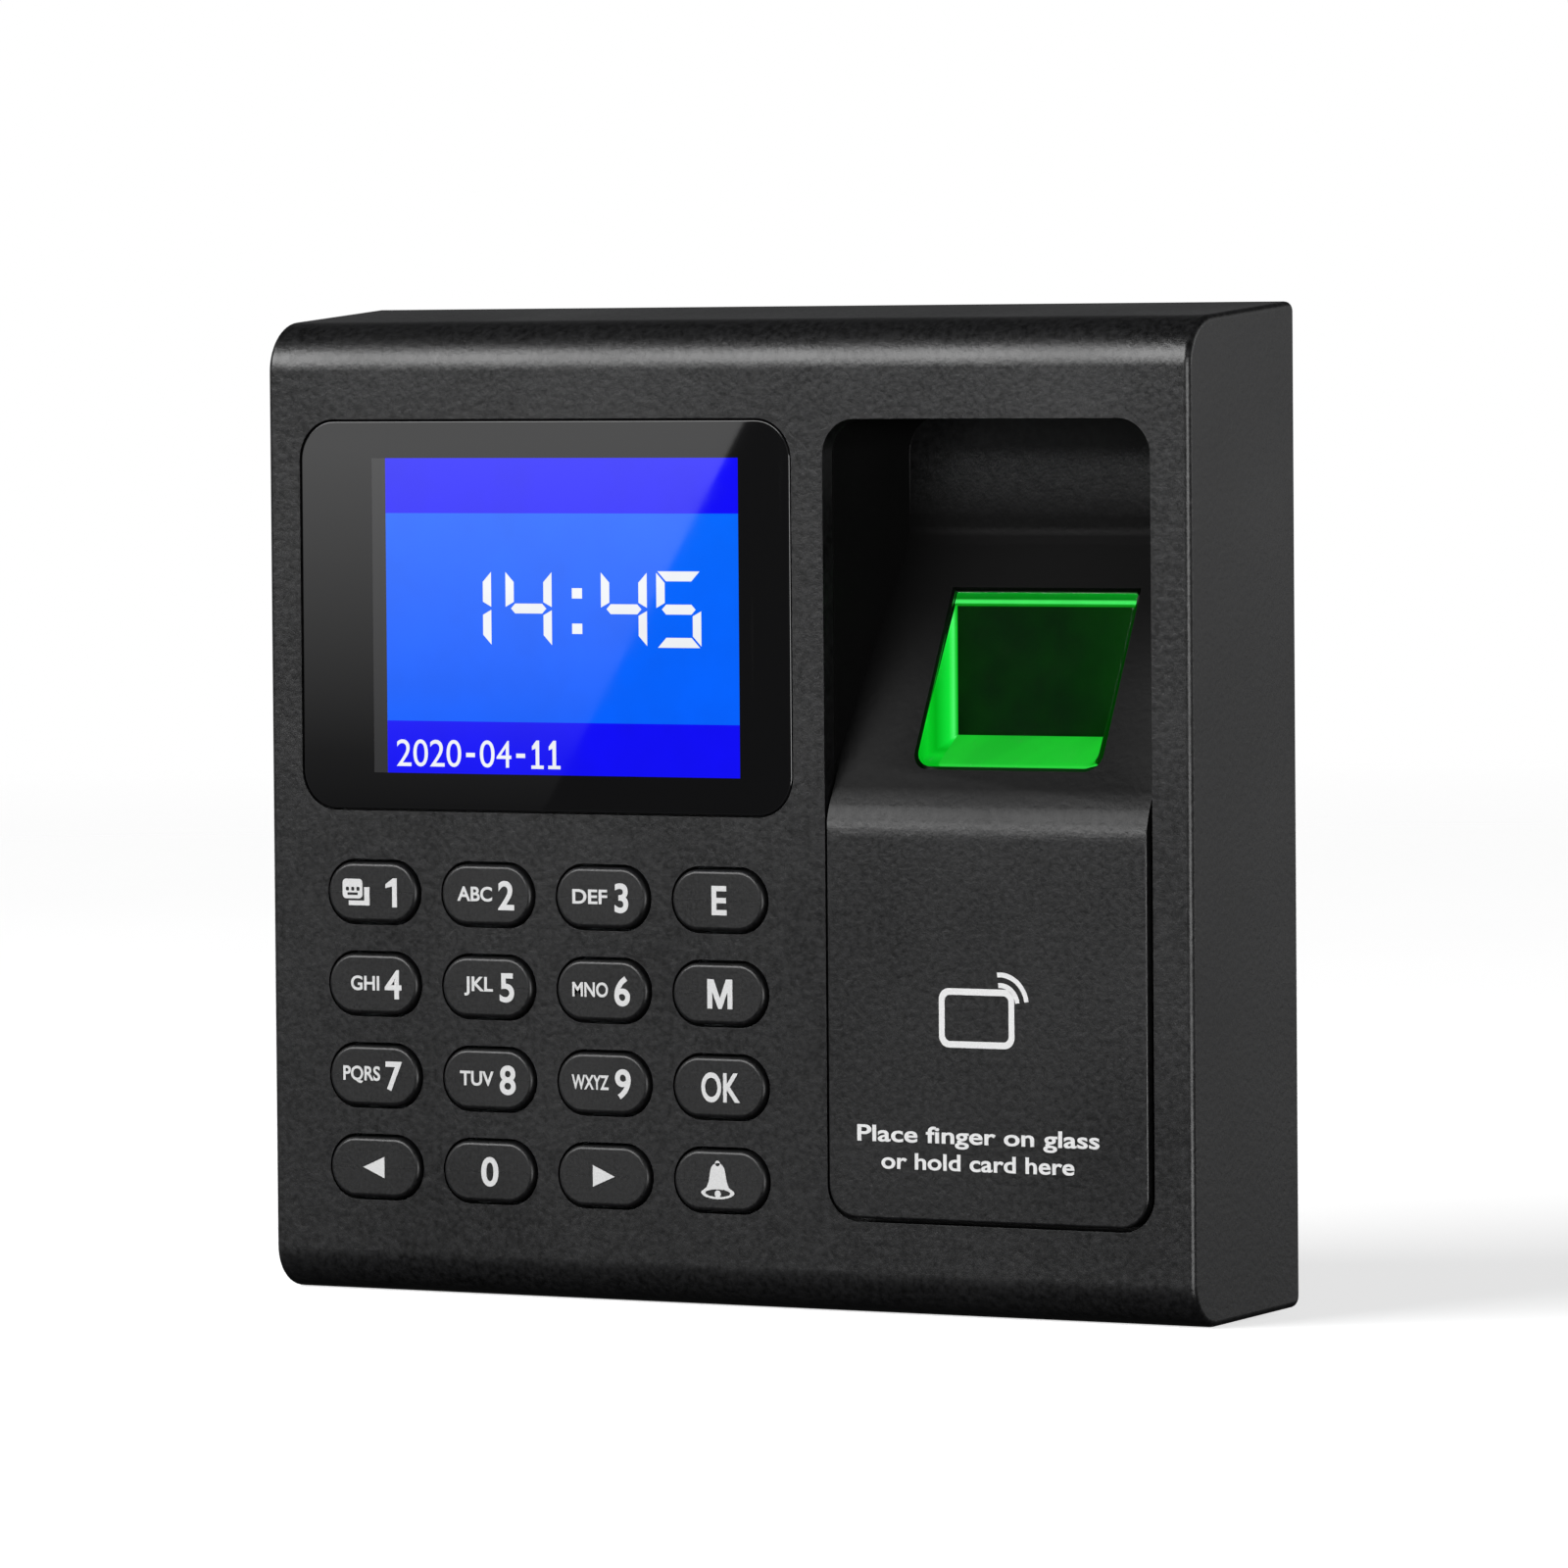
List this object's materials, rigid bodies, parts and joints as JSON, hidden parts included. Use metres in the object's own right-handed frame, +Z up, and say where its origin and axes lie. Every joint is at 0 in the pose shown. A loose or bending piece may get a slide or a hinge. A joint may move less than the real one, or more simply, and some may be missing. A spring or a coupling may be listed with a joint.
{
  "type": "fingerprint scanner terminal",
  "caption": "Wall-mounted access terminal: dark case with a lit display, a keypad, a lit fingerprint prism in a deep sloping recess, and a card pad below it.",
  "frame": {"origin": "point of the wall bracket's back face that lies behind the middle of the front face's outline", "axes": "+X to the right of someone facing the terminal, +Y into the wall, +Z up; the wall is the plane y = 0 and the front face looks along -Y"},
  "size_m": [0.125, 0.0254, 0.1151],
  "materials": {
    "case_plastic": "fine satin texture, near black",
    "key_plastic": "satin, white printed legends",
    "window_gloss": "polished, black printed border",
    "foam_tape": "double-sided foam tape",
    "lcd_blue": "lit colour display",
    "white_plastic": "white moulding",
    "ribbon_amber": "polyimide film",
    "mat_silicone": "grey silicone",
    "prism_green": "polished prism over green lamps",
    "black_plastic": "moulded",
    "chip_black": "moulded epoxy",
    "board_green": "solder mask over glass-epoxy laminate",
    "relay_blue": "moulded",
    "terminal_green": "moulded",
    "battery_steel": "brushed can",
    "cream_plastic": "moulded",
    "antenna_copper": "etched copper coil",
    "bracket_steel": "pressed zinc-plated sheet",
    "screw_steel": "plated"
  },
  "bodies": {
    "terminal": {"front_case": "case_plastic", "finger_panel": "case_plastic", "rear_cover": "case_plastic", "case_screw_1": "screw_steel", "case_screw_2": "screw_steel", "case_screw_3": "screw_steel", "case_screw_4": "screw_steel", "screen_window": "window_gloss", "window_tape": "foam_tape", "lcd_panel": "lcd_blue", "lcd_backlight": "white_plastic", "lcd_ribbon": "ribbon_amber", "keypad_mat": "mat_silicone", "sensor_prism": "prism_green", "sensor_holder": "black_plastic", "sensor_camera": "chip_black", "sensor_led_bar": "white_plastic", "sensor_board": "board_green", "sensor_cable": "ribbon_amber", "sensor_screw_1": "screw_steel", "sensor_screw_2": "screw_steel", "main_board": "board_green", "processor_chip": "chip_black", "memory_chip": "chip_black", "lock_relay": "relay_blue", "terminal_block": "terminal_green", "battery_holder": "black_plastic", "coin_battery": "battery_steel", "buzzer": "black_plastic", "ribbon_socket": "cream_plastic", "sensor_socket": "cream_plastic", "card_antenna": "antenna_copper", "speaker": "black_plastic", "board_screw_1": "screw_steel", "board_screw_2": "screw_steel", "board_screw_3": "screw_steel", "board_screw_4": "screw_steel", "wall_bracket": "bracket_steel", "lock_screw": "screw_steel"},
    "key_0_button": {"key_0": "key_plastic"},
    "key_1_button": {"key_1": "key_plastic"},
    "key_2_button": {"key_2": "key_plastic"},
    "key_3_button": {"key_3": "key_plastic"},
    "key_4_button": {"key_4": "key_plastic"},
    "key_5_button": {"key_5": "key_plastic"},
    "key_6_button": {"key_6": "key_plastic"},
    "key_7_button": {"key_7": "key_plastic"},
    "key_8_button": {"key_8": "key_plastic"},
    "key_9_button": {"key_9": "key_plastic"},
    "key_left_button": {"key_left": "key_plastic"},
    "key_right_button": {"key_right": "key_plastic"},
    "key_e_button": {"key_e": "key_plastic"},
    "key_m_button": {"key_m": "key_plastic"},
    "key_ok_button": {"key_ok": "key_plastic"},
    "key_bell_button": {"key_bell": "key_plastic"}
  },
  "joints": [
    {"name": "key_0_press", "type": "slide", "parent": "terminal", "child": "key_0_button", "axis": [0, 1, 0], "range_m": [0, 0.0008], "stiffness_N_per_m": 350, "deforming": ["keypad_mat"]},
    {"name": "key_1_press", "type": "slide", "parent": "terminal", "child": "key_1_button", "axis": [0, 1, 0], "range_m": [0, 0.0008], "stiffness_N_per_m": 350, "deforming": ["keypad_mat"]},
    {"name": "key_2_press", "type": "slide", "parent": "terminal", "child": "key_2_button", "axis": [0, 1, 0], "range_m": [0, 0.0008], "stiffness_N_per_m": 350, "deforming": ["keypad_mat"]},
    {"name": "key_3_press", "type": "slide", "parent": "terminal", "child": "key_3_button", "axis": [0, 1, 0], "range_m": [0, 0.0008], "stiffness_N_per_m": 350, "deforming": ["keypad_mat"]},
    {"name": "key_4_press", "type": "slide", "parent": "terminal", "child": "key_4_button", "axis": [0, 1, 0], "range_m": [0, 0.0008], "stiffness_N_per_m": 350, "deforming": ["keypad_mat"]},
    {"name": "key_5_press", "type": "slide", "parent": "terminal", "child": "key_5_button", "axis": [0, 1, 0], "range_m": [0, 0.0008], "stiffness_N_per_m": 350, "deforming": ["keypad_mat"]},
    {"name": "key_6_press", "type": "slide", "parent": "terminal", "child": "key_6_button", "axis": [0, 1, 0], "range_m": [0, 0.0008], "stiffness_N_per_m": 350, "deforming": ["keypad_mat"]},
    {"name": "key_7_press", "type": "slide", "parent": "terminal", "child": "key_7_button", "axis": [0, 1, 0], "range_m": [0, 0.0008], "stiffness_N_per_m": 350, "deforming": ["keypad_mat"]},
    {"name": "key_8_press", "type": "slide", "parent": "terminal", "child": "key_8_button", "axis": [0, 1, 0], "range_m": [0, 0.0008], "stiffness_N_per_m": 350, "deforming": ["keypad_mat"]},
    {"name": "key_9_press", "type": "slide", "parent": "terminal", "child": "key_9_button", "axis": [0, 1, 0], "range_m": [0, 0.0008], "stiffness_N_per_m": 350, "deforming": ["keypad_mat"]},
    {"name": "key_left_press", "type": "slide", "parent": "terminal", "child": "key_left_button", "axis": [0, 1, 0], "range_m": [0, 0.0008], "stiffness_N_per_m": 350, "deforming": ["keypad_mat"]},
    {"name": "key_right_press", "type": "slide", "parent": "terminal", "child": "key_right_button", "axis": [0, 1, 0], "range_m": [0, 0.0008], "stiffness_N_per_m": 350, "deforming": ["keypad_mat"]},
    {"name": "key_e_press", "type": "slide", "parent": "terminal", "child": "key_e_button", "axis": [0, 1, 0], "range_m": [0, 0.0008], "stiffness_N_per_m": 350, "deforming": ["keypad_mat"]},
    {"name": "key_m_press", "type": "slide", "parent": "terminal", "child": "key_m_button", "axis": [0, 1, 0], "range_m": [0, 0.0008], "stiffness_N_per_m": 350, "deforming": ["keypad_mat"]},
    {"name": "key_ok_press", "type": "slide", "parent": "terminal", "child": "key_ok_button", "axis": [0, 1, 0], "range_m": [0, 0.0008], "stiffness_N_per_m": 350, "deforming": ["keypad_mat"]},
    {"name": "key_bell_press", "type": "slide", "parent": "terminal", "child": "key_bell_button", "axis": [0, 1, 0], "range_m": [0, 0.0008], "stiffness_N_per_m": 350, "deforming": ["keypad_mat"]}
  ]
}
